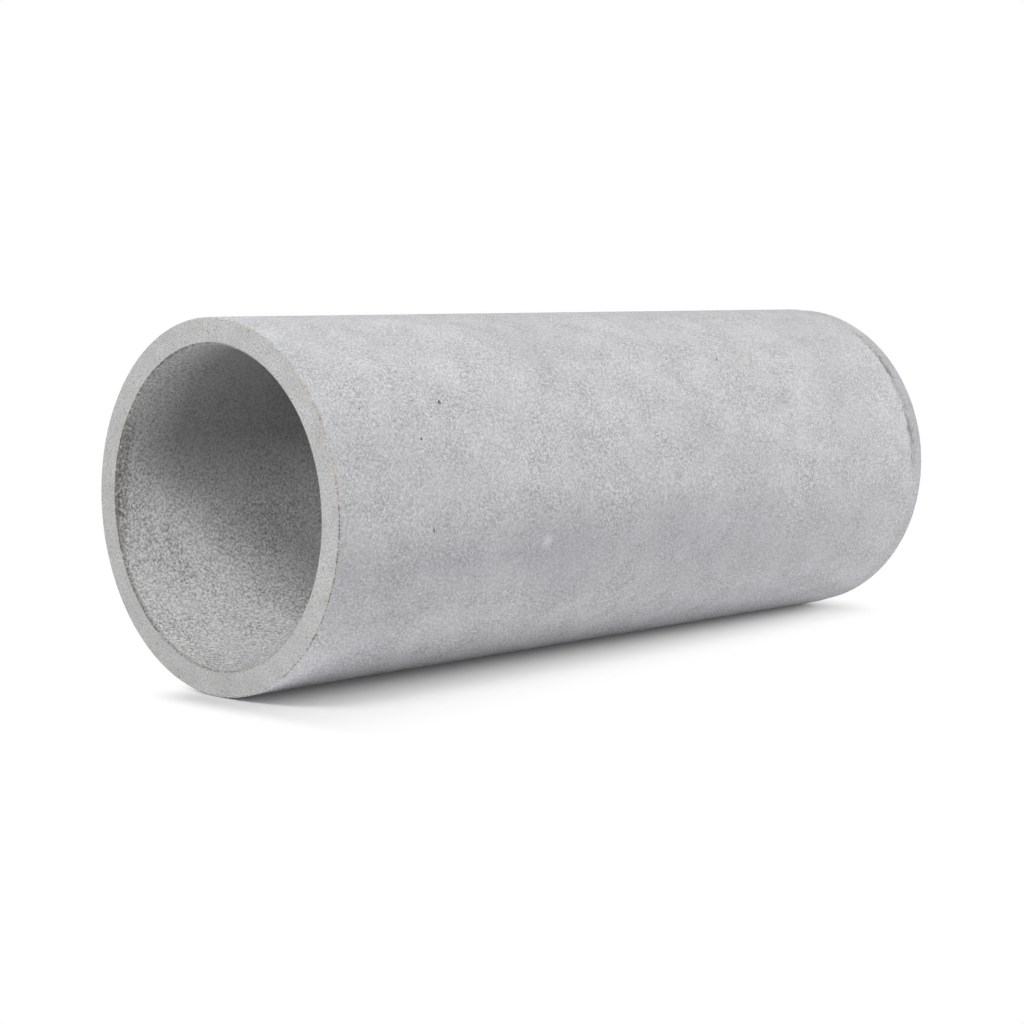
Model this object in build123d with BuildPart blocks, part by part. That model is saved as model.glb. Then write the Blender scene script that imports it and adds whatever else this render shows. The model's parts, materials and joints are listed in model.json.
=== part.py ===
from build123d import *
import os

# Plain-ended concrete sewer pipe of the 300 mm size, cast upright in a mould as one piece.
# It lies on its side along X. The origin is on the floor, under the middle of the barrel.

# Barrel
length = 900
bore_diameter = 305
wall = 25.5

# Arrises: the core leaves a small bevel at each mouth, and each rim has lost its sharp corner
mouth_bevel = 2
rim_round = 1.5

# Band pressed by the mould's bottom ring round the +X end, set back from the barrel at a seam
band_length = 22
band_set_back = 1.2
seam_run = 2.5

bore_radius = bore_diameter / 2
outer_radius = bore_radius + wall
band_radius = outer_radius - band_set_back

# Stations along the pipe, which is turned about the X direction of its section's plane
plain_end_x = -length / 2
ring_end_x = length / 2
seam_x = ring_end_x - band_length
section_plane = Plane(origin=(0, 0, outer_radius), x_dir=(1, 0, 0), z_dir=(0, -1, 0))
pipe_axis = Axis(section_plane.origin, section_plane.x_dir)

# The wall is one section, drawn out from the axis: along the bore, up the ring end, back along
# the band, over the seam's slope to the barrel, and down the plain end.
with BuildPart() as concrete_pipe:
    with BuildSketch(section_plane) as wall_section:
        with BuildLine():
            Polyline(
                (plain_end_x, bore_radius),
                (ring_end_x, bore_radius),
                (ring_end_x, band_radius),
                (seam_x + seam_run, band_radius),
                (seam_x, outer_radius),
                (plain_end_x, outer_radius),
                close=True,
            )
        make_face()
        mouth_corners = wall_section.vertices().group_by(Axis.Y)[0]
        chamfer(mouth_corners, length=mouth_bevel)
        plain_rim = wall_section.vertices().group_by(Axis.X)[0].sort_by(Axis.Y)[-1]
        ring_rim = wall_section.vertices().group_by(Axis.X)[-1].sort_by(Axis.Y)[-1]
        fillet([plain_rim, ring_rim], radius=rim_round)
    revolve(axis=pipe_axis)

concrete_pipe.part.label = "concrete_pipe"

os.makedirs("parts", exist_ok=True)
export_step(concrete_pipe.part, "parts/concrete_pipe.step")
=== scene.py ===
import json
import math

import bpy
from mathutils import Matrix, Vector


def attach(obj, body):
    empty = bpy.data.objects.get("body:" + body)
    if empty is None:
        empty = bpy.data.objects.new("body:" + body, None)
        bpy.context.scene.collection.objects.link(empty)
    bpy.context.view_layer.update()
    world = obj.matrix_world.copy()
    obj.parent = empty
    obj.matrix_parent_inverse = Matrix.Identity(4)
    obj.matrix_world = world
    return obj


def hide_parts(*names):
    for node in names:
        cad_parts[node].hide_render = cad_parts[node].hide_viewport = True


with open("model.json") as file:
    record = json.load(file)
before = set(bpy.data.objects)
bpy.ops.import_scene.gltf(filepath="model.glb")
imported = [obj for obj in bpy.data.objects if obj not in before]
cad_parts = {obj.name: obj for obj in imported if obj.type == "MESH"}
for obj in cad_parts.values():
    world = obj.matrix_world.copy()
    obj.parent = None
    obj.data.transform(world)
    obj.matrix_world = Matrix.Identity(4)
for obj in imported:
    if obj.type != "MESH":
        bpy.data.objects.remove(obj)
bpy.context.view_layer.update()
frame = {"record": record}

MM = 0.001

# Sizes of the pipe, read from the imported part
mounts = {mount["name"]: mount for mount in frame["record"]["mounts"]}
bore_radius = mounts["bore"]["dims"]["r_mm"] * MM
bore_length = mounts["bore"]["dims"]["length_mm"] * MM
outer_radius = mounts["barrel"]["dims"]["r_mm"] * MM
barrel_length = mounts["barrel"]["dims"]["length_mm"] * MM
axis_height = mounts["bore"]["pos_m"][2]
plain_end_x = mounts["plain_end"]["pos_m"][0]
ring_end_x = mounts["ring_end"]["pos_m"][0]
seam_x = mounts["barrel"]["pos_m"][0] + barrel_length / 2
mouth_bevel = (ring_end_x - plain_end_x - bore_length) / 2
mouth_radius = bore_radius + mouth_bevel
middle_radius = (bore_radius + outer_radius) / 2

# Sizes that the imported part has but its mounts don't give
rim_round = 1.5 * MM
band_set_back = 1.2 * MM
seam_run = 2.5 * MM
band_radius = outer_radius - band_set_back
rim_inset = rim_round * (1 - math.sqrt(0.5))

# Rows of the turned mesh: how many, and how strongly they crowd towards the arrises
segments_round = 300
barrel_rows = 44
bore_rows = 40
face_rows = 9
band_rows = 7
round_rows = 3
long_crowding_share = 0.955
short_crowding_share = 0.75

# Edges that bend more than this stay crisp. Faces that look more than this share along the pipe are its
# ends: the mouths' bevels, with a share of 0.71, go with the bore.
crisp_bend = math.radians(35)
end_facing_share = 0.72

# The turned surface is nowhere more than this inside the true cylinder and the true ends
warp_depth = 0.3 * MM
warp_size_mm = 150
warp_seed = 7

# Bug holes that show on the barrel: mm along the pipe from its middle, degrees round it from the top
# towards -Y, radius in mm, and how many times longer than wide
bug_holes = (
    (-299, 56.2, 1.9, 1.7),
    (-338, 67.8, 1.5, 1.2),
    (-334, 95.4, 1.15, 2.4),
    (-380, 40.4, 1.0, 1.3),
    (137, 44.0, 1.2, 1.3),
)

# Other marks, placed in the same way: a smudge of lime on the barrel, the sector in which the seam holds
# painted shade and more chips, and the middle of the torn lip inside the plain mouth
smudge_along_mm, smudge_deg = -180, 102.7
shaded_seam_from_deg, shaded_seam_to_deg = 36, 88
lip_deg = 276


def linear(hex_colour):
    """An sRGB hex colour as the linear RGBA that a socket takes."""
    parts = [int(hex_colour[i:i + 2], 16) / 255 for i in (1, 3, 5)]
    return [p / 12.92 if p <= 0.04045 else ((p + 0.055) / 1.055) ** 2.4 for p in parts] + [1.0]


def per(size_mm):
    """The texture scale that gives a pattern of this size in millimetres."""
    return 1 / (size_mm * MM)


def way_out(angle_deg):
    """The direction out from the pipe's axis, so many degrees round it from the top towards -Y."""
    turn = math.radians(angle_deg)
    return Vector((0, -math.sin(turn), math.cos(turn)))


def add(tree, kind, inputs=None, **settings):
    """Add one node. Settings are its own properties; inputs are values, or the sockets to link."""
    made = tree.nodes.new(kind)
    for name, value in settings.items():
        setattr(made, name, value)
    for key, value in (inputs or {}).items():
        if isinstance(value, bpy.types.NodeSocket):
            tree.links.new(value, made.inputs[key])
        else:
            made.inputs[key].default_value = value
    return made


# Finishes


def new_finish(name, roughness):
    """An empty matt material: its tree, its shader and its Object coordinates."""
    material = bpy.data.materials.new(name)
    material.use_nodes = True
    tree = material.node_tree
    shader = tree.nodes["Principled BSDF"]
    shader.inputs["Roughness"].default_value = roughness
    shader.inputs["IOR"].default_value = 1.5
    return material, tree, shader, add(tree, "ShaderNodeTexCoord").outputs["Object"]


def barrel_ground(tree, place, spot, clouds):
    """The barrel's cement under its pores: paler and darker in clouds, with painted shade and light below.

    Patches that dried slowly are bluer. A stretch of the flank under the widest part is darker and bluer,
    fading out before the ring end: painted shade. Below it the barrel turns paler: painted bounce light.
    """
    flank_top, flank_middle, flank_foot = axis_height, axis_height - 48 * MM, axis_height - 120 * MM
    shade_fading_x, shade_gone_x = 50 * MM, 250 * MM
    bounce_top, bounce_foot = axis_height - 95 * MM, axis_height - 150 * MM
    cloudy = add(tree, "ShaderNodeMapRange", {
        "Value": clouds, "From Min": 0.32, "From Max": 0.68}).outputs[0]
    pale = add(tree, "ShaderNodeMix", {
        0: cloudy, 6: linear("#d1d1d2"), 7: linear("#dddddf")}, data_type="RGBA").outputs[2]
    patches = add(tree, "ShaderNodeTexNoise", {
        "Vector": place, "Scale": per(190), "Detail": 2.0}).outputs[0]
    damp_patches = add(tree, "ShaderNodeMapRange", {
        "Value": patches, "From Min": 0.42, "From Max": 0.66, "To Max": 0.32}).outputs[0]
    # Painted shade: a darker, bluer stretch of the flank just under the widest part, fading out towards the
    # ring end
    under = add(tree, "ShaderNodeMapRange", {
        "Value": spot["Z"], "From Min": flank_top, "From Max": flank_middle, "To Max": 0.42}).outputs[0]
    above = add(tree, "ShaderNodeMapRange", {
        "Value": spot["Z"], "From Min": flank_foot, "From Max": flank_middle}).outputs[0]
    stretch = add(tree, "ShaderNodeMapRange", {
        "Value": spot["X"], "From Min": shade_gone_x, "From Max": shade_fading_x}).outputs[0]
    flank = add(tree, "ShaderNodeMath", {0: under, 1: above}, operation="MULTIPLY").outputs[0]
    shaded_flank = add(tree, "ShaderNodeMath", {0: flank, 1: stretch}, operation="MULTIPLY").outputs[0]
    # The patches that dried slowly, together with the painted shade of the flank
    damp_and_shade = add(tree, "ShaderNodeMath", {0: damp_patches, 1: shaded_flank}, operation="ADD").outputs[0]
    cement = add(tree, "ShaderNodeMix", {
        0: damp_and_shade, 6: pale, 7: linear("#b5b6be")}, data_type="RGBA").outputs[2]
    # Painted bounce light from the floor: paler towards the bottom of the barrel
    painted_bounce = add(tree, "ShaderNodeMapRange", {
        "Value": spot["Z"], "From Min": bounce_top, "From Max": bounce_foot, "To Max": 0.58}).outputs[0]
    return add(tree, "ShaderNodeMix", {
        0: painted_bounce, 6: cement, 7: linear("#efeff4")}, data_type="RGBA").outputs[2]


def band_with_painted_shade(tree, place, spot, skin):
    """The barrel's skin with its band darkened, from a little before the band's foot, and a dark seam.

    The band has a faint tint all round and is darker with painted shade over one sector, where alone the
    seam holds a ragged line of painted shade.
    """
    darkening_run, wander_reach = 8 * MM, 8 * MM
    shade_edge, shade_core = 7 * MM, 1 * MM
    shaded_way = way_out((shaded_seam_from_deg + shaded_seam_to_deg) / 2)
    sector_edge = math.cos(math.radians((shaded_seam_to_deg - shaded_seam_from_deg) / 2))
    from_axis = add(tree, "ShaderNodeVectorMath", {
        0: place, 1: (0, 0, axis_height)}, operation="SUBTRACT").outputs[0]
    facing = add(tree, "ShaderNodeVectorMath", {
        0: from_axis, 1: shaded_way / outer_radius}, operation="DOT_PRODUCT").outputs["Value"]
    sector = add(tree, "ShaderNodeMapRange", {
        "Value": facing, "From Min": sector_edge - 0.08, "From Max": sector_edge + 0.06}).outputs[0]
    ragged = add(tree, "ShaderNodeTexNoise", {"Vector": place, "Scale": per(6), "Detail": 4.0}).outputs[0]
    wander = add(tree, "ShaderNodeMapRange", {
        "Value": ragged, "To Min": -wander_reach, "To Max": wander_reach}).outputs[0]
    wandering = add(tree, "ShaderNodeMath", {0: spot["X"], 1: wander}, operation="ADD").outputs[0]
    # Painted shade over the band beyond the seam, from a little before it: most over the one sector, faint
    # elsewhere
    past_seam = add(tree, "ShaderNodeMath", {
        0: wandering, 1: seam_x + seam_run}, operation="SUBTRACT").outputs[0]
    past_edge = add(tree, "ShaderNodeMapRange", {
        "Value": past_seam, "From Min": -darkening_run, "From Max": seam_run}).outputs[0]
    band_tone = add(tree, "ShaderNodeMapRange", {"Value": sector, "To Min": 0.1, "To Max": 0.38}).outputs[0]
    on_band = add(tree, "ShaderNodeMath", {0: past_edge, 1: band_tone}, operation="MULTIPLY").outputs[0]
    banded = add(tree, "ShaderNodeMix", {
        0: on_band, 6: skin, 7: linear("#86858a")}, data_type="RGBA").outputs[2]
    # Painted shade in the step at the seam: a ragged, dashed dark line, only over the one sector
    off_seam = add(tree, "ShaderNodeMath", {0: past_seam}, operation="ABSOLUTE").outputs[0]
    in_seam = add(tree, "ShaderNodeMapRange", {
        "Value": off_seam, "From Min": shade_edge, "From Max": shade_core}).outputs[0]
    breaks = add(tree, "ShaderNodeTexNoise", {"Vector": place, "Scale": per(22), "Detail": 3.0}).outputs[0]
    dashes = add(tree, "ShaderNodeMapRange", {
        "Value": breaks, "From Min": 0.34, "From Max": 0.56, "To Max": 0.8}).outputs[0]
    dashed_seam_shade = add(tree, "ShaderNodeMath", {0: in_seam, 1: dashes}, operation="MULTIPLY").outputs[0]
    seam_shade = add(tree, "ShaderNodeMath", {0: dashed_seam_shade, 1: sector}, operation="MULTIPLY").outputs[0]
    return add(tree, "ShaderNodeMix", {
        0: seam_shade, 6: banded, 7: linear("#6c6b6c")}, data_type="RGBA").outputs[2]


def barrel_finish():
    """Concrete pressed against a steel mould: pale cement skin, felted by fine pores, with faint clouds.

    Large patches that dried slowly are bluer. A stretch of the flank just under the widest part is darker
    and bluer, as painted shade, and below it the barrel turns paler, as painted bounce light from the floor.
    Over one sector the bottom ring's seam holds a ragged dark line of painted shade, and the band beyond
    it is darker with painted shade.
    """
    material, tree, shader, place = new_finish("mould_cast_concrete", 0.92)
    spot = add(tree, "ShaderNodeSeparateXYZ", {"Vector": place}).outputs
    clouds = add(tree, "ShaderNodeTexNoise", {
        "Vector": place, "Scale": per(70), "Detail": 5.0, "Roughness": 0.62}).outputs[0]
    ground = barrel_ground(tree, place, spot, clouds)

    # Pores, close in some patches and sparse in others. Many real ones are too fine to show in the render,
    # so these are drawn coarser.
    pores = add(tree, "ShaderNodeTexNoise", {
        "Vector": place, "Scale": per(2.1), "Detail": 5.0, "Roughness": 0.7, "Distortion": 0.5}).outputs[0]
    close = add(tree, "ShaderNodeTexNoise", {"Vector": place, "Scale": per(32), "Detail": 2.0}).outputs[0]
    amount = add(tree, "ShaderNodeMapRange", {
        "Value": close, "From Min": 0.35, "From Max": 0.65, "To Min": 0.68, "To Max": 1.0}).outputs[0]
    open_pores = add(tree, "ShaderNodeMapRange", {
        "Value": pores, "From Min": 0.6, "From Max": 0.4}).outputs[0]
    pitted = add(tree, "ShaderNodeMath", {0: open_pores, 1: amount}, operation="MULTIPLY").outputs[0]
    skin = add(tree, "ShaderNodeMix", {
        0: pitted, 6: ground, 7: linear("#9c9c9e")}, data_type="RGBA").outputs[2]

    # A pale smudge of lime
    smudge_edge, smudge_core = 9 * MM, 1 * MM
    smudge_spot = Vector((smudge_along_mm * MM, 0, axis_height)) + outer_radius * way_out(smudge_deg)
    off_smudge = add(tree, "ShaderNodeVectorMath", {
        0: place, 1: smudge_spot}, operation="DISTANCE").outputs["Value"]
    on_smudge = add(tree, "ShaderNodeMapRange", {
        "Value": off_smudge, "From Min": smudge_edge, "From Max": smudge_core, "To Max": 0.95}).outputs[0]
    patchy = add(tree, "ShaderNodeMath", {0: on_smudge, 1: clouds}, operation="MULTIPLY").outputs[0]
    limed = add(tree, "ShaderNodeMix", {
        0: patchy, 6: skin, 7: linear("#f2f1f0")}, data_type="RGBA").outputs[2]

    # The band and the seam, with painted shade over one sector
    seamed = band_with_painted_shade(tree, place, spot, limed)
    tree.links.new(seamed, shader.inputs["Base Color"])
    relief = add(tree, "ShaderNodeBump", {
        "Strength": 0.8, "Distance": 0.6 * MM, "Height": pores}).outputs[0]
    tree.links.new(relief, shader.inputs["Normal"])
    return material


def torn_lip(tree, place, spot, skin):
    """The bore's skin with dirt on the torn side of the plain mouth, ragged where it ends."""
    lip_end_x, lip_full_x, fray_reach = plain_end_x + 16 * MM, plain_end_x + 7 * MM, 9 * MM
    shreds = add(tree, "ShaderNodeTexNoise", {"Vector": place, "Scale": per(3.4), "Detail": 4.0}).outputs[0]
    fray = add(tree, "ShaderNodeMapRange", {
        "Value": shreds, "To Min": -fray_reach, "To Max": fray_reach}).outputs[0]
    frayed = add(tree, "ShaderNodeMath", {0: spot["X"], 1: fray}, operation="ADD").outputs[0]
    near_mouth = add(tree, "ShaderNodeMapRange", {
        "Value": frayed, "From Min": lip_end_x, "From Max": lip_full_x}).outputs[0]
    torn_way = way_out(lip_deg)
    from_axis = add(tree, "ShaderNodeVectorMath", {
        0: place, 1: (0, 0, axis_height)}, operation="SUBTRACT").outputs[0]
    facing = add(tree, "ShaderNodeVectorMath", {
        0: from_axis, 1: torn_way / bore_radius}, operation="DOT_PRODUCT").outputs["Value"]
    on_side = add(tree, "ShaderNodeMapRange", {
        "Value": facing, "From Min": 0.88, "From Max": 0.98}).outputs[0]
    lip = add(tree, "ShaderNodeMath", {0: near_mouth, 1: on_side}, operation="MULTIPLY").outputs[0]
    shredded = add(tree, "ShaderNodeMapRange", {
        "Value": shreds, "From Min": 0.62, "From Max": 0.4, "To Max": 0.85}).outputs[0]
    torn = add(tree, "ShaderNodeMath", {0: lip, 1: shredded}, operation="MULTIPLY").outputs[0]
    return add(tree, "ShaderNodeMix", {
        0: torn, 6: skin, 7: linear("#5a5650")}, data_type="RGBA").outputs[2]


def bore_finish():
    """Concrete packed by a turning head: the same cement, with a close orange peel of pits and ridges.

    Painted light makes it paler low down and near the plain mouth, and painted shade darker high up and
    deep in, except on that mouth's bevel. That mouth's +Y lip is torn and soiled.
    """
    material, tree, shader, place = new_finish("roller_packed_concrete", 0.95)
    spot = add(tree, "ShaderNodeSeparateXYZ", {"Vector": place}).outputs

    # Painted light and shade: paler low down and near the plain mouth, darker high up and deep in
    shade_start_x, shade_full_x = plain_end_x - 12 * MM, plain_end_x + 68 * MM
    shade_start_z, shade_full_z = axis_height - 14 * MM, axis_height + 58 * MM
    deep = add(tree, "ShaderNodeMapRange", {
        "Value": spot["X"], "From Min": shade_start_x, "From Max": shade_full_x}).outputs[0]
    high = add(tree, "ShaderNodeMapRange", {
        "Value": spot["Z"], "From Min": shade_start_z, "From Max": shade_full_z}).outputs[0]
    painted_bore_shade = add(tree, "ShaderNodeMath", {0: deep, 1: high}, operation="MULTIPLY").outputs[0]
    lit_and_shaded = add(tree, "ShaderNodeMix", {
        0: painted_bore_shade, 6: linear("#eaeaea"), 7: linear("#a7a7a7")}, data_type="RGBA").outputs[2]
    # The plain mouth's bevel keeps a tone of its own, like the end face's, without the painted light and
    # shade
    on_plain_bevel = add(tree, "ShaderNodeMapRange", {
        "Value": spot["X"], "From Min": plain_end_x + 2 * mouth_bevel,
        "From Max": plain_end_x + mouth_bevel}).outputs[0]
    ground = add(tree, "ShaderNodeMix", {
        0: on_plain_bevel, 6: lit_and_shaded, 7: linear("#bcbcbb")}, data_type="RGBA").outputs[2]

    # Pits between the ridges
    peel = add(tree, "ShaderNodeTexNoise", {
        "Vector": place, "Scale": per(2.5), "Detail": 4.5, "Roughness": 0.68, "Distortion": 0.6}).outputs[0]
    pits = add(tree, "ShaderNodeMapRange", {"Value": peel, "From Min": 0.58, "From Max": 0.4}).outputs[0]
    clouds = add(tree, "ShaderNodeTexNoise", {"Vector": place, "Scale": per(40), "Detail": 3.0}).outputs[0]
    amount = add(tree, "ShaderNodeMapRange", {
        "Value": clouds, "From Min": 0.35, "From Max": 0.65, "To Min": 0.65, "To Max": 0.9}).outputs[0]
    pitted = add(tree, "ShaderNodeMath", {0: pits, 1: amount}, operation="MULTIPLY").outputs[0]
    skin = add(tree, "ShaderNodeMix", {
        0: pitted, 6: ground, 7: linear("#7c7c7c")}, data_type="RGBA").outputs[2]

    lipped = torn_lip(tree, place, spot, skin)
    tree.links.new(lipped, shader.inputs["Base Color"])
    relief = add(tree, "ShaderNodeBump", {"Strength": 1.0, "Distance": 2.3 * MM, "Height": peel}).outputs[0]
    tree.links.new(relief, shader.inputs["Normal"])
    return material


def end_finish():
    """Concrete struck off level at the mould's end: smoother, finer and a little darker than the barrel."""
    material, tree, shader, place = new_finish("struck_off_concrete", 0.9)
    clouds = add(tree, "ShaderNodeTexNoise", {"Vector": place, "Scale": per(28), "Detail": 3.0}).outputs[0]
    cloudy = add(tree, "ShaderNodeMapRange", {
        "Value": clouds, "From Min": 0.35, "From Max": 0.65}).outputs[0]
    ground = add(tree, "ShaderNodeMix", {
        0: cloudy, 6: linear("#bdbdbd"), 7: linear("#c9c9c9")}, data_type="RGBA").outputs[2]
    grain = add(tree, "ShaderNodeTexNoise", {
        "Vector": place, "Scale": per(1.6), "Detail": 4.0, "Roughness": 0.7}).outputs[0]
    sandy = add(tree, "ShaderNodeMapRange", {
        "Value": grain, "From Min": 0.57, "From Max": 0.4, "To Max": 0.9}).outputs[0]
    skin = add(tree, "ShaderNodeMix", {
        0: sandy, 6: ground, 7: linear("#989896")}, data_type="RGBA").outputs[2]
    specks = add(tree, "ShaderNodeTexNoise", {"Vector": place, "Scale": per(3.5), "Detail": 1.0}).outputs[0]
    speck = add(tree, "ShaderNodeMapRange", {
        "Value": specks, "From Min": 0.68, "From Max": 0.74, "To Max": 0.6}).outputs[0]
    specked = add(tree, "ShaderNodeMix", {
        0: speck, 6: skin, 7: linear("#7d786c")}, data_type="RGBA").outputs[2]
    tree.links.new(specked, shader.inputs["Base Color"])
    relief = add(tree, "ShaderNodeBump", {
        "Strength": 0.6, "Distance": 0.3 * MM, "Height": grain}).outputs[0]
    tree.links.new(relief, shader.inputs["Normal"])
    return material


def sandy_finish(name, dark, pale):
    """Concrete broken open to its sand: rough, with no cement skin."""
    material, tree, shader, place = new_finish(name, 0.97)
    sand = add(tree, "ShaderNodeTexNoise", {"Vector": place, "Scale": per(2), "Detail": 2.0}).outputs[0]
    skin = add(tree, "ShaderNodeMix", {
        0: sand, 6: linear(dark), 7: linear(pale)}, data_type="RGBA").outputs[2]
    tree.links.new(skin, shader.inputs["Base Color"])
    return material


def broken_finish():
    """Concrete where an arris has chipped or an air bubble opened: brownish, dark with dirt, and darker
    still as painted shade in its hollows.
    """
    # The dark tone is partly painted shade in the chips and bug holes
    return sandy_finish("broken_concrete", "#5d5953", "#97938b")


def crumbled_finish():
    """Concrete where a rim has crumbled away grain by grain: paler than a chip."""
    return sandy_finish("crumbled_concrete", "#8b8882", "#d2d0cb")


# The wall's section


def crowded(start, end, rows, share):
    """Places from start to end, closer together near both."""
    turns = [2 * math.pi * row / rows for row in range(rows + 1)]
    return [start + (end - start) * (turn - share * math.sin(turn)) / (2 * math.pi) for turn in turns]


def rounded(end_x, face_top, inward):
    """A rim's rounded corner, from the end face to the outside. Inward is +1 or -1 along the pipe."""
    turns = [math.pi / 2 * row / round_rows for row in range(1, round_rows)]
    return [
        (end_x + inward * rim_round * (1 - math.cos(turn)), face_top + rim_round * math.sin(turn))
        for turn in turns
    ]


def wall_section():
    """The wall's closed outline: places along the pipe, each with its distance from the axis."""
    band_edge_x = ring_end_x - rim_round
    band_foot_x = seam_x + seam_run
    plain_edge_x = plain_end_x + rim_round
    plain_top = outer_radius - rim_round
    ring_top = band_radius - rim_round
    outline = [(plain_end_x, r) for r in crowded(mouth_radius, plain_top, face_rows, short_crowding_share)]
    outline += rounded(plain_end_x, plain_top, 1)
    outline += [(x, outer_radius) for x in crowded(plain_edge_x, seam_x, barrel_rows, long_crowding_share)]
    outline += [(x, band_radius) for x in crowded(band_foot_x, band_edge_x, band_rows, short_crowding_share)]
    outline += rounded(ring_end_x, ring_top, -1)[::-1]
    outline += [(ring_end_x, r) for r in crowded(ring_top, mouth_radius, face_rows, short_crowding_share)]
    bore_half = bore_length / 2
    outline += [(x, bore_radius) for x in crowded(bore_half, -bore_half, bore_rows, long_crowding_share)]
    return outline


def section_curve(outline):
    """The section as a closed curve, its X out from the middle of the wall and its Y along the pipe."""
    data = bpy.data.curves.new("wall_section", "CURVE")
    data.dimensions = "3D"
    spline = data.splines.new("POLY")
    spline.points.add(len(outline) - 1)
    for point, (along, radius) in zip(spline.points, outline):
        point.co = (radius - middle_radius, along, 0, 1)
    spline.use_cyclic_u = True
    curve = bpy.data.objects.new("wall_section", data)
    bpy.context.collection.objects.link(curve)
    return curve


# What is chipped or pitted


def arris(radius, station, count, sizes_mm, stretch, outward, seed, worn=(0, 0, 0), sector_deg=(0, 360)):
    """Inputs for chips along one arris, larger on the side that worn points to.

    Outward gives the share of its size by which a chip stands off: its X along the pipe, and its Z away
    from the axis. The sector is in degrees from the top towards -Y.
    """
    return {
        "Count": count, "Radius": radius, "Low Station": station, "High Station": station,
        "Low Angle": -math.radians(sector_deg[1]), "High Angle": -math.radians(sector_deg[0]),
        "Outward": outward, "Worn Towards": worn,
        "Smallest": sizes_mm[0] * MM, "Largest": sizes_mm[1] * MM, "Stretch": stretch, "Seed": seed,
    }


def bug_hole(along_mm, angle_deg, size_mm, stretch, seed):
    """Inputs for one open air bubble in the barrel."""
    return {
        "Count": 1, "Radius": outer_radius, "Low Station": along_mm * MM, "High Station": along_mm * MM,
        "Low Angle": -math.radians(angle_deg), "High Angle": -math.radians(angle_deg),
        "Outward": (0, 0, 0.1), "Worn Towards": (0, 0, 0),
        "Smallest": size_mm * MM, "Largest": size_mm * MM, "Stretch": stretch, "Seed": seed,
    }


def damage():
    """Every set of lumps to be cut out of the pipe, by the place that they are in."""
    bevel_middle = bore_radius + mouth_bevel / 2
    plain_mouth_x = plain_end_x + mouth_bevel / 2
    ring_mouth_x = ring_end_x - mouth_bevel / 2
    plain_rim_x, plain_rim_radius = plain_end_x + rim_inset, outer_radius - rim_inset
    ring_rim_x, ring_rim_radius = ring_end_x - rim_inset, band_radius - rim_inset
    sets = {
        "plain mouth": arris(
            bevel_middle, plain_mouth_x, count=520, sizes_mm=(0.3, 1.3), stretch=1.0,
            outward=(-0.4, 0, -0.4), seed=1, worn=(0, 0.75, 0.3)),
        "torn lip": arris(
            mouth_radius, plain_end_x, count=380, sizes_mm=(0.5, 1.8), stretch=0.6,
            outward=(0, 0, -0.4), seed=8, sector_deg=(216, 296)),
        "plain rim": arris(
            plain_rim_radius, plain_rim_x, count=600, sizes_mm=(0.4, 0.95), stretch=1.2,
            outward=(-0.3, 0, 0.3), seed=2, worn=(0, -0.2, -0.2)),
        "nicked rim": arris(
            plain_rim_radius, plain_rim_x, count=90, sizes_mm=(0.7, 1.6), stretch=1.2,
            outward=(-0.3, 0, 0.3), seed=10, sector_deg=(72, 132)),
        "crumbled rim": arris(
            plain_rim_radius, plain_rim_x, count=150, sizes_mm=(0.8, 2.6), stretch=1.4,
            outward=(-0.2, 0, 0.2), seed=11, sector_deg=(8, 84)),
        "ring mouth": arris(
            bevel_middle, ring_mouth_x, count=300, sizes_mm=(0.4, 1.8), stretch=1.2,
            outward=(0.4, 0, -0.4), seed=3, worn=(0, 0.1, -0.4)),
        "ring rim": arris(
            ring_rim_radius, ring_rim_x, count=400, sizes_mm=(0.4, 1.2), stretch=1.3,
            outward=(0.35, 0, 0.35), seed=4, worn=(0, -0.1, -0.4)),
        "seam": arris(
            outer_radius, seam_x, count=120, sizes_mm=(0.4, 1.0), stretch=2.5,
            outward=(0.2, 0, 0.15), seed=5),
        "grimy seam": arris(
            outer_radius, seam_x, count=40, sizes_mm=(0.6, 1.9), stretch=2.0,
            outward=(0.2, 0, 0.1), seed=9, sector_deg=(shaded_seam_from_deg, shaded_seam_to_deg)),
    }
    first_hole_seed = 20
    for seed, hole in enumerate(bug_holes, first_hole_seed):
        sets[f"bug hole {seed}"] = bug_hole(*hole, seed)
    sets["small bug holes"] = {
        "Count": 45, "Radius": outer_radius, "Low Station": plain_end_x, "High Station": seam_x,
        "Low Angle": 0.0, "High Angle": 2 * math.pi, "Outward": (0, 0, 0.3), "Worn Towards": (0, 0, 0),
        "Smallest": 0.5 * MM, "Largest": 1.3 * MM, "Stretch": 1.3, "Seed": 6,
    }
    return sets


def new_tree(name, inputs):
    """A geometry node tree with one geometry output and these named inputs."""
    tree = bpy.data.node_groups.new(name, "GeometryNodeTree")
    tree.interface.new_socket("Geometry", in_out="OUTPUT", socket_type="NodeSocketGeometry")
    for label, kind in inputs.items():
        tree.interface.new_socket(label, in_out="INPUT", socket_type="NodeSocket" + kind)
    return tree, tree.nodes.new("NodeGroupInput").outputs, tree.nodes.new("NodeGroupOutput").inputs


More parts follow.
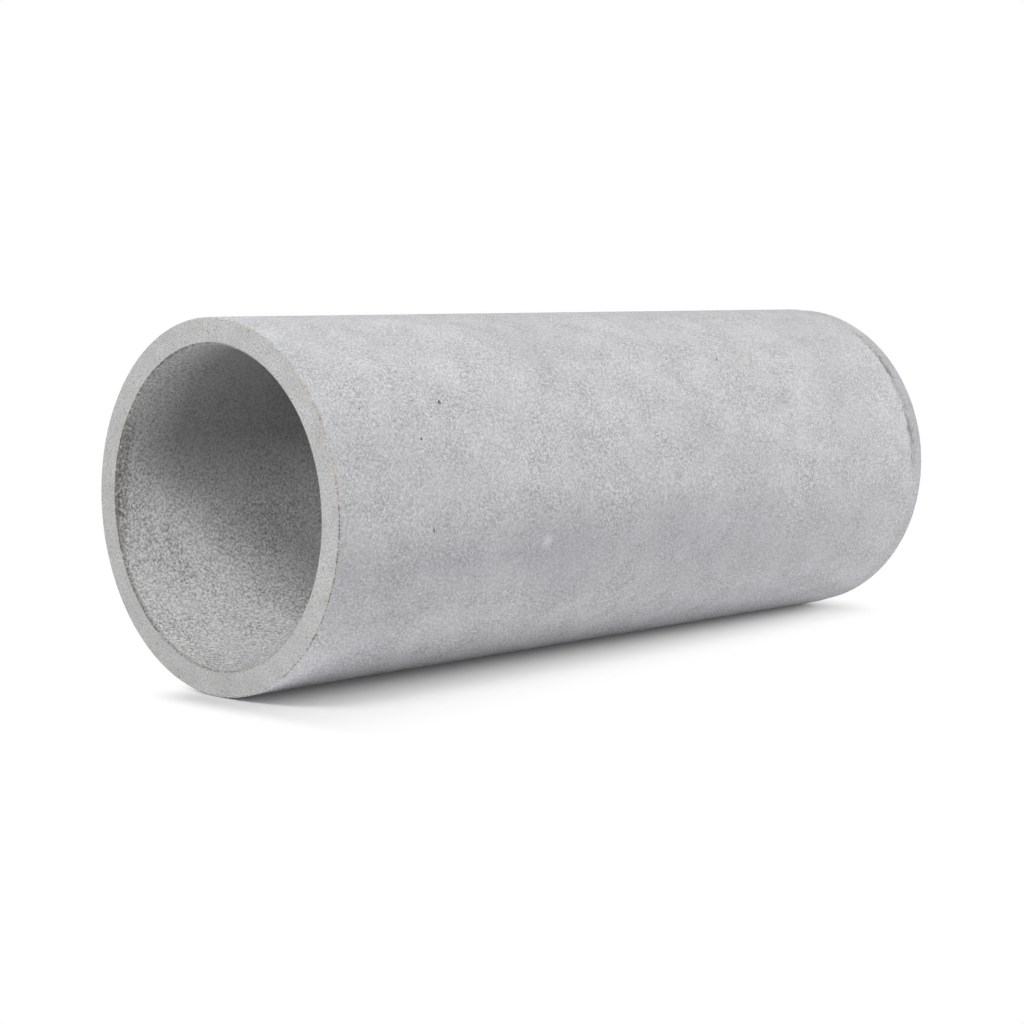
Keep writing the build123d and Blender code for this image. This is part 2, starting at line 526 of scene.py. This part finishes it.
def lumps_tree():
    """Rough lumps scattered over a stretch of a cylinder, to be cut out of the pipe there."""
    tree, given, result = new_tree("Lumps to cut", {
        "Count": "Int", "Radius": "Float", "Axis Height": "Float",
        "Low Station": "Float", "High Station": "Float", "Low Angle": "Float", "High Angle": "Float",
        "Outward": "Vector", "Worn Towards": "Vector",
        "Smallest": "Float", "Largest": "Float", "Stretch": "Float", "Seed": "Int", "Finish": "Material",
    })

    # How rare the larger lumps are, and the most that a lump is tumbled, in radians
    rarity, most_tumble = 2.5, 0.6

    # Seeds for the four things that are drawn for each lump
    seeds = [given["Seed"]]
    for step in (100.0, 200.0, 300.0):
        seeds.append(add(tree, "ShaderNodeMath", {0: given["Seed"], 1: step}, operation="ADD").outputs[0])

    # Places on the cylinder
    angle = add(tree, "FunctionNodeRandomValue", {
        2: given["Low Angle"], 3: given["High Angle"], "Seed": seeds[0]}).outputs[1]
    station = add(tree, "FunctionNodeRandomValue", {
        2: given["Low Station"], 3: given["High Station"], "Seed": seeds[1]}).outputs[1]
    sine = add(tree, "ShaderNodeMath", {0: angle}, operation="SINE").outputs[0]
    cosine = add(tree, "ShaderNodeMath", {0: angle}, operation="COSINE").outputs[0]
    radial = add(tree, "ShaderNodeCombineXYZ", {"Y": sine, "Z": cosine}).outputs[0]
    ring = add(tree, "ShaderNodeVectorMath", {
        0: radial, "Scale": given["Radius"]}, operation="SCALE").outputs[0]
    centre = add(tree, "ShaderNodeCombineXYZ", {"X": station, "Z": given["Axis Height"]}).outputs[0]
    on_ring = add(tree, "ShaderNodeVectorMath", {0: ring, 1: centre}, operation="ADD").outputs[0]

    # Sizes: most are small, and the worn side has the larger ones
    pick = add(tree, "FunctionNodeRandomValue", {2: 0.0, 3: 1.0, "Seed": seeds[2]}).outputs[1]
    rare = add(tree, "ShaderNodeMath", {0: pick, 1: rarity}, operation="POWER").outputs[0]
    spread = add(tree, "ShaderNodeMapRange", {
        "Value": rare, "To Min": given["Smallest"], "To Max": given["Largest"]}).outputs[0]
    wear = add(tree, "ShaderNodeVectorMath", {
        0: radial, 1: given["Worn Towards"]}, operation="DOT_PRODUCT").outputs["Value"]
    gain = add(tree, "ShaderNodeMath", {0: wear, 1: 1.0}, operation="ADD").outputs[0]
    size = add(tree, "ShaderNodeMath", {0: spread, 1: gain}, operation="MULTIPLY").outputs[0]

    # Each stands off from the arris, so that it cuts only a part of itself out of the pipe
    out = add(tree, "ShaderNodeSeparateXYZ", {"Vector": given["Outward"]}).outputs
    lift = add(tree, "ShaderNodeVectorMath", {0: radial, "Scale": out["Z"]}, operation="SCALE").outputs[0]
    along = add(tree, "ShaderNodeCombineXYZ", {"X": out["X"]}).outputs[0]
    away = add(tree, "ShaderNodeVectorMath", {0: lift, 1: along}, operation="ADD").outputs[0]
    stand_off = add(tree, "ShaderNodeVectorMath", {0: away, "Scale": size}, operation="SCALE").outputs[0]
    spot = add(tree, "ShaderNodeVectorMath", {0: on_ring, 1: stand_off}, operation="ADD").outputs[0]
    points = add(tree, "GeometryNodePoints", {"Count": given["Count"], "Position": spot}).outputs[0]

    # One knobbly lump, laid with its length round the pipe and then tumbled
    ball = add(tree, "GeometryNodeMeshIcoSphere", {"Radius": 1.0, "Subdivisions": 2}).outputs["Mesh"]
    knobs = add(tree, "ShaderNodeTexNoise", {"Scale": 1.1, "Detail": 2.0}).outputs["Color"]
    dents = add(tree, "ShaderNodeVectorMath", {0: knobs, 1: (-0.5, -0.5, -0.5)}, operation="ADD").outputs[0]
    lump = add(tree, "GeometryNodeSetPosition", {"Geometry": ball, "Offset": dents}).outputs[0]
    finished = add(tree, "GeometryNodeSetMaterial", {
        "Geometry": lump, "Material": given["Finish"]}).outputs[0]
    back = add(tree, "ShaderNodeMath", {0: angle, 1: -1.0}, operation="MULTIPLY").outputs[0]
    lie = add(tree, "FunctionNodeAxisAngleToRotation", {"Axis": (1, 0, 0), "Angle": back}).outputs[0]
    tumble = add(tree, "FunctionNodeRandomValue", {
        0: [-most_tumble] * 3, 1: [most_tumble] * 3, "Seed": seeds[3]}, data_type="FLOAT_VECTOR").outputs[0]
    turned = add(tree, "FunctionNodeRotateRotation", {0: lie, 1: tumble}, rotation_space="LOCAL").outputs[0]
    form = add(tree, "ShaderNodeCombineXYZ", {"X": 1.0, "Y": given["Stretch"], "Z": 1.0}).outputs[0]
    scale = add(tree, "ShaderNodeVectorMath", {0: form, "Scale": size}, operation="SCALE").outputs[0]
    lumps = add(tree, "GeometryNodeInstanceOnPoints", {
        "Points": points, "Instance": finished, "Rotation": turned, "Scale": scale}).outputs[0]
    tree.links.new(lumps, result[0])
    return tree


def pipe_tree(finishes, lumps):
    """Turns the section round the pipe's axis, warps it a little, cuts the damage out and finishes it."""
    tree, given, result = new_tree("Turned concrete pipe", {
        "Section": "Geometry", "Segments": "Int", "Middle Radius": "Float", "Axis Height": "Float",
        "Warp Depth": "Float", "Seed": "Int",
    })
    ring = add(tree, "GeometryNodeCurvePrimitiveCircle", {
        "Resolution": given["Segments"], "Radius": given["Middle Radius"]}).outputs["Curve"]
    swept = add(tree, "GeometryNodeCurveToMesh", {
        "Curve": ring, "Profile Curve": given["Section"]}).outputs[0]
    up = add(tree, "ShaderNodeCombineXYZ", {"Z": given["Axis Height"]}).outputs[0]
    laid = add(tree, "GeometryNodeTransform", {
        "Geometry": swept, "Translation": up, "Rotation": (0, -math.pi / 2, 0)}).outputs[0]

    # A slow warp, always into the concrete
    wave = add(tree, "ShaderNodeTexNoise", {
        "W": given["Seed"], "Scale": per(warp_size_mm), "Detail": 3.0}, noise_dimensions="4D").outputs[0]
    depth = add(tree, "ShaderNodeMath", {0: wave, 1: given["Warp Depth"]}, operation="MULTIPLY").outputs[0]
    inward = add(tree, "ShaderNodeMath", {0: depth, 1: -1.0}, operation="MULTIPLY").outputs[0]
    normal = add(tree, "GeometryNodeInputNormal").outputs[0]
    offset = add(tree, "ShaderNodeVectorMath", {0: normal, "Scale": inward}, operation="SCALE").outputs[0]
    warped = add(tree, "GeometryNodeSetPosition", {"Geometry": laid, "Offset": offset}).outputs[0]

    # Chips and bug holes
    cuts = add(tree, "GeometryNodeJoinGeometry")
    for place, inputs in damage().items():
        finish = finishes["crumbled"] if place == "crumbled rim" else finishes["broken"]
        row = add(tree, "GeometryNodeGroup", {
            "Axis Height": given["Axis Height"], "Finish": finish, **inputs}, node_tree=lumps, label=place)
        tree.links.new(row.outputs[0], cuts.inputs[0])
    cut = add(tree, "GeometryNodeMeshBoolean", {
        "Mesh 1": warped, "Mesh 2": cuts.outputs[0]}, operation="DIFFERENCE", solver="MANIFOLD").outputs[0]

    # Smooth round the pipe, sharp at the broken edges
    smooth = add(tree, "GeometryNodeSetShadeSmooth", {
        "Geometry": cut, "Shade Smooth": True}, domain="FACE").outputs[0]
    bend = add(tree, "GeometryNodeInputMeshEdgeAngle").outputs["Unsigned Angle"]
    crisp = add(tree, "ShaderNodeMath", {0: bend, 1: crisp_bend}, operation="GREATER_THAN").outputs[0]
    edged = add(tree, "GeometryNodeSetShadeSmooth", {
        "Geometry": smooth, "Selection": crisp, "Shade Smooth": False}, domain="EDGE").outputs[0]
    whole = add(tree, "GeometryNodeRealizeInstances", {"Geometry": edged}).outputs[0]

    # The broken and crumbled faces keep their finish; the rest get the barrel's, the bore's or the ends'
    broken = add(tree, "GeometryNodeMaterialSelection", {"Material": finishes["broken"]}).outputs[0]
    crumbled = add(tree, "GeometryNodeMaterialSelection", {"Material": finishes["crumbled"]}).outputs[0]
    sound = add(tree, "FunctionNodeBooleanMath", {0: broken, 1: crumbled}, operation="NOR").outputs[0]
    here = add(tree, "GeometryNodeInputPosition").outputs[0]
    from_axis = add(tree, "ShaderNodeVectorMath", {0: here, 1: up}, operation="SUBTRACT").outputs[0]
    across = add(tree, "ShaderNodeVectorMath", {0: from_axis, 1: (0, 1, 1)}, operation="MULTIPLY").outputs[0]
    radius = add(tree, "ShaderNodeVectorMath", {0: across}, operation="LENGTH").outputs["Value"]
    inside = add(tree, "ShaderNodeMath", {
        0: radius, 1: given["Middle Radius"]}, operation="LESS_THAN").outputs[0]
    in_bore = add(tree, "FunctionNodeBooleanMath", {0: sound, 1: inside}, operation="AND").outputs[0]
    facing = add(tree, "ShaderNodeSeparateXYZ", {"Vector": normal}).outputs["X"]
    tilt = add(tree, "ShaderNodeMath", {0: facing}, operation="ABSOLUTE").outputs[0]
    flat = add(tree, "ShaderNodeMath", {0: tilt, 1: end_facing_share}, operation="GREATER_THAN").outputs[0]
    at_end = add(tree, "FunctionNodeBooleanMath", {0: sound, 1: flat}, operation="AND").outputs[0]
    skinned = add(tree, "GeometryNodeSetMaterial", {
        "Geometry": whole, "Selection": sound, "Material": finishes["barrel"]}).outputs[0]
    bored = add(tree, "GeometryNodeSetMaterial", {
        "Geometry": skinned, "Selection": in_bore, "Material": finishes["bore"]}).outputs[0]
    ended = add(tree, "GeometryNodeSetMaterial", {
        "Geometry": bored, "Selection": at_end, "Material": finishes["end"]}).outputs[0]
    tree.links.new(ended, result[0])
    return tree


def cast_pipe():
    """The pipe as one plain mesh."""
    finishes = {
        "barrel": barrel_finish(), "bore": bore_finish(), "end": end_finish(),
        "broken": broken_finish(), "crumbled": crumbled_finish(),
    }
    section = section_curve(wall_section())
    tree = pipe_tree(finishes, lumps_tree())
    values = {
        "Segments": segments_round, "Middle Radius": middle_radius, "Axis Height": axis_height,
        "Warp Depth": warp_depth, "Seed": warp_seed,
    }
    modifier = section.modifiers.new("turned", "NODES")
    modifier.node_group = tree
    for socket in tree.interface.items_tree:
        if socket.name in values:
            modifier[socket.identifier] = values[socket.name]
    evaluated = section.evaluated_get(bpy.context.evaluated_depsgraph_get())
    mesh = bpy.data.meshes.new_from_object(evaluated)
    mesh.name = "cast_pipe"
    pipe = bpy.data.objects.new("cast_pipe", mesh)
    bpy.context.collection.objects.link(pipe)
    bpy.data.objects.remove(section)
    return pipe


# Floor, light and camera


def white_floor():
    """A matt floor that the camera sees as grey paper near the pipe, fading into plain white: painted shade
    round the pipe, over the pipe's real shadow.
    """
    # The strip of painted shade round the pipe, in which its real shadow shows, in metres: where it starts
    # to fade towards each end and over how far, its width in front of the pipe at each end, and its width
    # behind, which grows over a run
    near_start, near_fade = plain_end_x - 0.012, 0.045
    far_start, far_fade = ring_end_x - 0.03, 0.09
    near_width, far_width = 0.27, 0.14
    near_back_width, back_width, back_run = 0.07, 0.2, 0.2
    least_white = 0.042

    half = 30
    corners = [(-half, -half, 0), (half, -half, 0), (half, half, 0), (-half, half, 0)]
    mesh = bpy.data.meshes.new("floor")
    mesh.from_pydata(corners, [], [(0, 1, 2, 3)])
    floor = bpy.data.objects.new("floor", mesh)
    bpy.context.collection.objects.link(floor)
    material = bpy.data.materials.new("matt_white_paper")
    material.use_nodes = True
    tree = material.node_tree
    tree.nodes.clear()
    path = add(tree, "ShaderNodeLightPath").outputs
    mirrored = add(tree, "ShaderNodeMath", {
        0: path["Is Glossy Ray"], 1: path["Is Transmission Ray"]}, operation="MAXIMUM").outputs[0]
    seen = add(tree, "ShaderNodeMath", {
        0: path["Is Camera Ray"], 1: mirrored}, operation="MAXIMUM").outputs[0]
    place = add(tree, "ShaderNodeTexCoord").outputs["Object"]
    spot = add(tree, "ShaderNodeSeparateXYZ", {"Vector": place}).outputs
    before = add(tree, "ShaderNodeMapRange", {
        "Value": spot["X"], "From Min": near_start, "From Max": near_start - near_fade}).outputs[0]
    beyond = add(tree, "ShaderNodeMapRange", {
        "Value": spot["X"], "From Min": far_start, "From Max": far_start + far_fade}).outputs[0]
    ends = add(tree, "ShaderNodeMath", {0: before, 1: beyond}, operation="MAXIMUM").outputs[0]
    width = add(tree, "ShaderNodeMapRange", {
        "Value": spot["X"], "From Min": plain_end_x, "From Max": ring_end_x,
        "To Min": near_width, "To Max": far_width}).outputs[0]
    front_side = add(tree, "ShaderNodeMath", {0: spot["Y"], 1: -1.0}, operation="MULTIPLY").outputs[0]
    front = add(tree, "ShaderNodeMath", {0: front_side, 1: width}, operation="DIVIDE").outputs[0]
    behind = add(tree, "ShaderNodeMapRange", {
        "Value": spot["X"], "From Min": plain_end_x, "From Max": plain_end_x + back_run,
        "To Min": near_back_width, "To Max": back_width}).outputs[0]
    back = add(tree, "ShaderNodeMath", {0: spot["Y"], 1: behind}, operation="DIVIDE").outputs[0]
    aside = add(tree, "ShaderNodeMath", {0: front, 1: back}, operation="MAXIMUM").outputs[0]
    clear = add(tree, "ShaderNodeCombineXYZ", {"X": ends, "Y": aside}).outputs[0]
    away = add(tree, "ShaderNodeVectorMath", {0: clear}, operation="LENGTH").outputs["Value"]
    # Near the pipe the camera sees the grey paper, painted shade; away from it, plain white
    far = add(tree, "ShaderNodeMapRange", {
        "Value": away, "To Min": least_white}, interpolation_type="SMOOTHSTEP").outputs[0]
    bounce = add(tree, "ShaderNodeBsdfDiffuse", {"Color": linear("#fafafa")}).outputs[0]
    # The grey paper that the camera sees near the pipe: painted shade over the real shadow
    paper = add(tree, "ShaderNodeBsdfDiffuse", {"Color": linear("#d3d3d3")}).outputs[0]
    white = add(tree, "ShaderNodeEmission", {"Color": (1, 1, 1, 1), "Strength": 1.0}).outputs[0]
    sheet = add(tree, "ShaderNodeMixShader", {0: far, 1: paper, 2: white}).outputs[0]
    look = add(tree, "ShaderNodeMixShader", {0: seen, 1: bounce, 2: sheet}).outputs[0]
    add(tree, "ShaderNodeOutputMaterial", {"Surface": look})
    mesh.materials.append(material)
    return floor


def studio_world():
    """A pale room, brighter above than at the horizon, which the camera sees as white."""
    horizon_glow, overhead_glow, overhead_height = 0.05, 0.36, 0.6
    world = bpy.data.worlds.new("studio")
    world.use_nodes = True
    tree = world.node_tree
    tree.nodes.clear()
    path = add(tree, "ShaderNodeLightPath").outputs
    direction = add(tree, "ShaderNodeTexCoord").outputs["Generated"]
    height = add(tree, "ShaderNodeSeparateXYZ", {"Vector": direction}).outputs["Z"]
    glow = add(tree, "ShaderNodeMapRange", {
        "Value": height, "From Max": overhead_height,
        "To Min": horizon_glow, "To Max": overhead_glow}).outputs[0]
    room = add(tree, "ShaderNodeBackground", {"Color": (1, 1, 1, 1), "Strength": glow}).outputs[0]
    white = add(tree, "ShaderNodeBackground", {"Color": (1, 1, 1, 1), "Strength": 1.0}).outputs[0]
    look = add(tree, "ShaderNodeMixShader", {0: path["Is Camera Ray"], 1: room, 2: white}).outputs[0]
    add(tree, "ShaderNodeOutputWorld", {"Surface": look})
    bpy.context.scene.world = world


def soft_box(name, round_deg, up_deg, distance, watts):
    """A square lamp turned towards the pipe, so many degrees from -X towards -Y and above level.

    Its distance is in metres, and its side is a fixed share of that.
    """
    side_share = 0.3
    turn, lift = math.radians(round_deg), math.radians(up_deg)
    towards = Vector((-math.cos(lift) * math.cos(turn), -math.cos(lift) * math.sin(turn), math.sin(lift)))
    lamp = bpy.data.lights.new(name, "AREA")
    lamp.size = side_share * distance
    lamp.energy = watts
    box = bpy.data.objects.new(name, lamp)
    box.location = Vector((0, 0, axis_height)) + distance * towards
    box.rotation_euler = towards.to_track_quat("Z", "Y").to_euler()
    bpy.context.collection.objects.link(box)


def photo_camera():
    """The photo's viewpoint, from a fit to the rims and sides of the pipe."""
    lens_mm, sensor_mm = 78.82, 36
    place = (-1.7425, -1.6529, 0.3852)
    down_deg, round_deg = 5.785, -45.660
    data = bpy.data.cameras.new("camera")
    data.lens = lens_mm
    data.sensor_width = sensor_mm
    camera = bpy.data.objects.new("camera", data)
    camera.location = place
    camera.rotation_euler = (math.radians(90 - down_deg), 0, math.radians(round_deg))
    bpy.context.collection.objects.link(camera)
    bpy.context.scene.camera = camera


pipe = cast_pipe()
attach(pipe, "root")
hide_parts("concrete_pipe")
white_floor()

studio_world()
soft_box("mouth_box", round_deg=20, up_deg=47, distance=3.3, watts=73)
soft_box("far_box", round_deg=164, up_deg=10, distance=2.5, watts=49)
soft_box("back_box", round_deg=270, up_deg=60, distance=4.0, watts=25)
photo_camera()
bpy.context.scene.view_settings.view_transform = "Standard"
